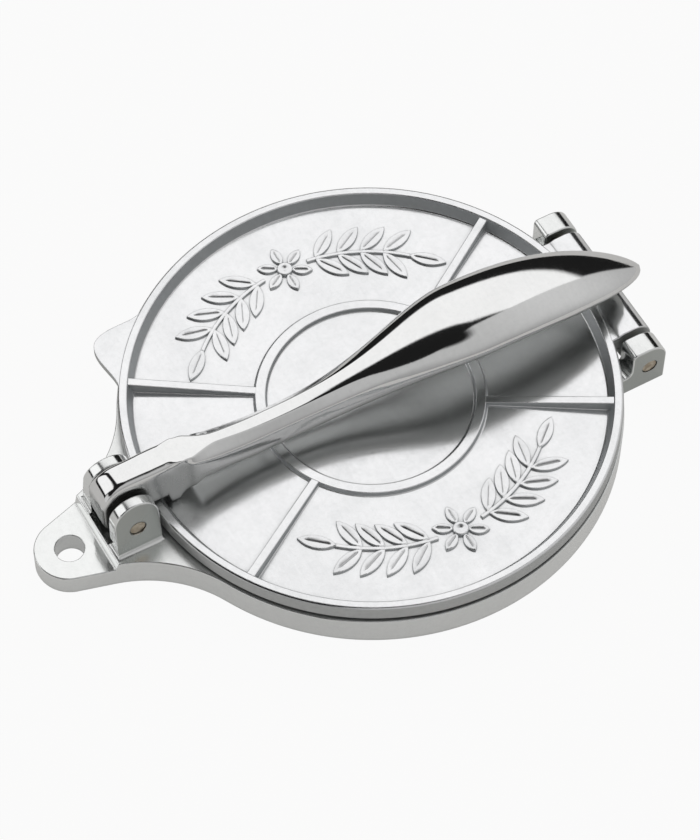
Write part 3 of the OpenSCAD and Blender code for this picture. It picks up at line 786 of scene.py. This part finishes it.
def lever_solid():
    """The whole lever, lofted from its round front corner to the pointed tip."""
    stations, angles = lever_stations(), lever_angles()
    solid = bmesh.new()
    bmesh.ops.create_grid(solid, x_segments=len(angles) - 1, y_segments=len(stations) - 1, size=1)
    for v in solid.verts:
        angle = radians(angles[round((v.co.x + 1) / 2 * (len(angles) - 1))])
        u = stations[round((v.co.y + 1) / 2 * (len(stations) - 1))]
        top, low = upper(u), lower(u)
        mid = mix((top + low) / 2, middle(u), smooth(share(u, 17, 24)))
        power = 2 / squareness(u)
        c, s = cos(angle), sin(angle)
        side = 1 if c > 0 else -1
        out, rise = abs(c) ** power, abs(s) ** power
        if s > 0.001:
            ridge = smooth(share(u, 14, 21)) * (1 - smooth(share(u, NECK_AT + 10, CREST_AT - 4)))
            x, z = roof(u, abs(c))
            out, rise = mix(out, x, ridge), mix(rise, z, ridge)
        aside = u * tan(radians(ASIDE)) * smooth(share(u, 12, 30))
        v.co = (aside + side * out * half_width(u), u + FRONT_Y,
                mid + rise * (top - mid if s > 0 else low - mid) + FRONT_Z)
    bmesh.ops.remove_doubles(solid, verts=solid.verts, dist=0.002)
    bmesh.ops.holes_fill(solid, edges=[e for e in solid.edges if e.is_boundary], sides=0)
    return worked("DIFFERENCE", outward(solid), rod(BORE_R, 20, FRONT_Y, FRONT_Z, 48))


piece("lever_casting", lever_solid(), "lever", lever_finish, ["lever"],
      sharp=60, flats=False)

for node in ("lever_pin", "hinge_pin"):
    pin = frame["nodes"][node]
    for place in pin.material_slots:
        place.material = steel


# ------------------------------------------------------------- studio

def floor():
    """A pale floor just below the press: nearly white to the camera, darker in reflections."""
    sheet = bmesh.new()
    bmesh.ops.create_grid(sheet, x_segments=1, y_segments=1, size=8)
    mesh = bpy.data.meshes.new("floor")
    sheet.to_mesh(mesh)
    sheet.free()
    ground = bpy.data.objects.new("floor", mesh)
    ground.location.z = -0.2 * MM
    scene.collection.objects.link(ground)
    paint = Paint(bpy.data.materials.new("pale_floor"))
    matt = paint.node("BsdfDiffuse", inputs={"Color": (0.72, 0.70, 0.67, 1)})
    white = paint.node("Emission", inputs={"Color": (1, 1, 1, 1), "Strength": 1.0})
    seen = paint.node("LightPath", output="Is Camera Ray")
    shine = paint.node("LightPath", output="Is Glossy Ray")
    shine = shine + paint.node("LightPath", output="Is Transmission Ray")
    blend = paint.node("MixShader", inputs={0: seen * 0.94 + shine * 0.29, 1: matt, 2: white})
    mesh.materials.append(paint.done(blend))


def studio():
    """A big soft box, a grey wall, a small box and a low dim glow, with dark between them."""
    world = bpy.data.worlds.new("studio")
    scene.world = world
    sky = Paint(world)
    way = sky.node("TexCoord", output="Generated")
    x, y, z = (sky.node("SeparateXYZ", inputs={0: way}, output=k) for k in range(3))

    def before(turn, blur=0.04):
        """Light on the clockwise side of an upright edge, turn degrees round from X."""
        return sky.ramp(x * sin(radians(turn)) - y * cos(radians(turn)), -blur / 2, blur / 2)

    def past(turn, blur=0.04):
        """Light on the other side of such an edge."""
        return 1 - before(turn, blur)

    # the grey wall, lighter higher up and towards the back
    wall = sky.ramp(x + y - z * 0.1, -0.03, 0.03) * before(113, 0.04) * sky.ramp(z, 0.99, 0.95)
    wall = wall * (sky.ramp(z, 0.0, 0.8, 0.33, 0.50) + sky.ramp(y - x * 0.3, 0.0, 0.9) * 0.14)
    # the big soft box, cut off slantwise
    box = past(111) * before(205) * sky.ramp(z, 0.43, 0.50)
    box = box * sky.ramp(x * -0.94 + y * 0.34 - z * 0.35, -0.02, 0.04) * 0.97
    small = past(-140) * before(-114) * sky.ramp(z, 0.14, 0.20) * sky.ramp(z, 0.82, 0.74)
    glow = wall.or_more(box)
    glow = glow.or_more(small)
    # the low dim glow, with a trace of light all round
    glow = glow.or_more(past(-110) * before(-48) * sky.ramp(z, 0.46, 0.36) * 0.6 + 0.012)
    seen = sky.node("LightPath", output="Is Camera Ray")
    level = glow * (1 - seen) + seen
    light = sky.node("Background", inputs={"Color": (1, 1, 1, 1), "Strength": level})
    sky.done(light, "OutputWorld")


def camera():
    """A long lens, well above the press on its right, turned and tilted by these angles."""
    turn, height, tilt = radians(59.7379), radians(57.0857), radians(0.9041)
    back = Vector((sin(turn) * cos(height), -cos(turn) * cos(height), sin(height)))
    flat = Vector((cos(turn), sin(turn), 0))
    rise = back.cross(flat)
    right = cos(tilt) * flat + sin(tilt) * rise
    above = cos(tilt) * rise - sin(tilt) * flat
    away, aside, down, shift = 1156.07, 6.0055, 0.6924, Vector((1.25, 0, 0))
    spot = (away * back - aside * right - down * above - shift) * MM
    lens = bpy.data.cameras.new("camera")
    lens.sensor_fit, lens.sensor_height, lens.lens = "VERTICAL", 36, 150
    lens.clip_start, lens.clip_end = 0.05, 50
    stand = bpy.data.objects.new("camera", lens)
    scene.collection.objects.link(stand)
    stand.matrix_world = Matrix.Translation(spot) @ Matrix((right, above, back)).transposed().to_4x4()
    scene.camera = stand


floor()
studio()
camera()
scene.view_settings.view_transform = "Standard"
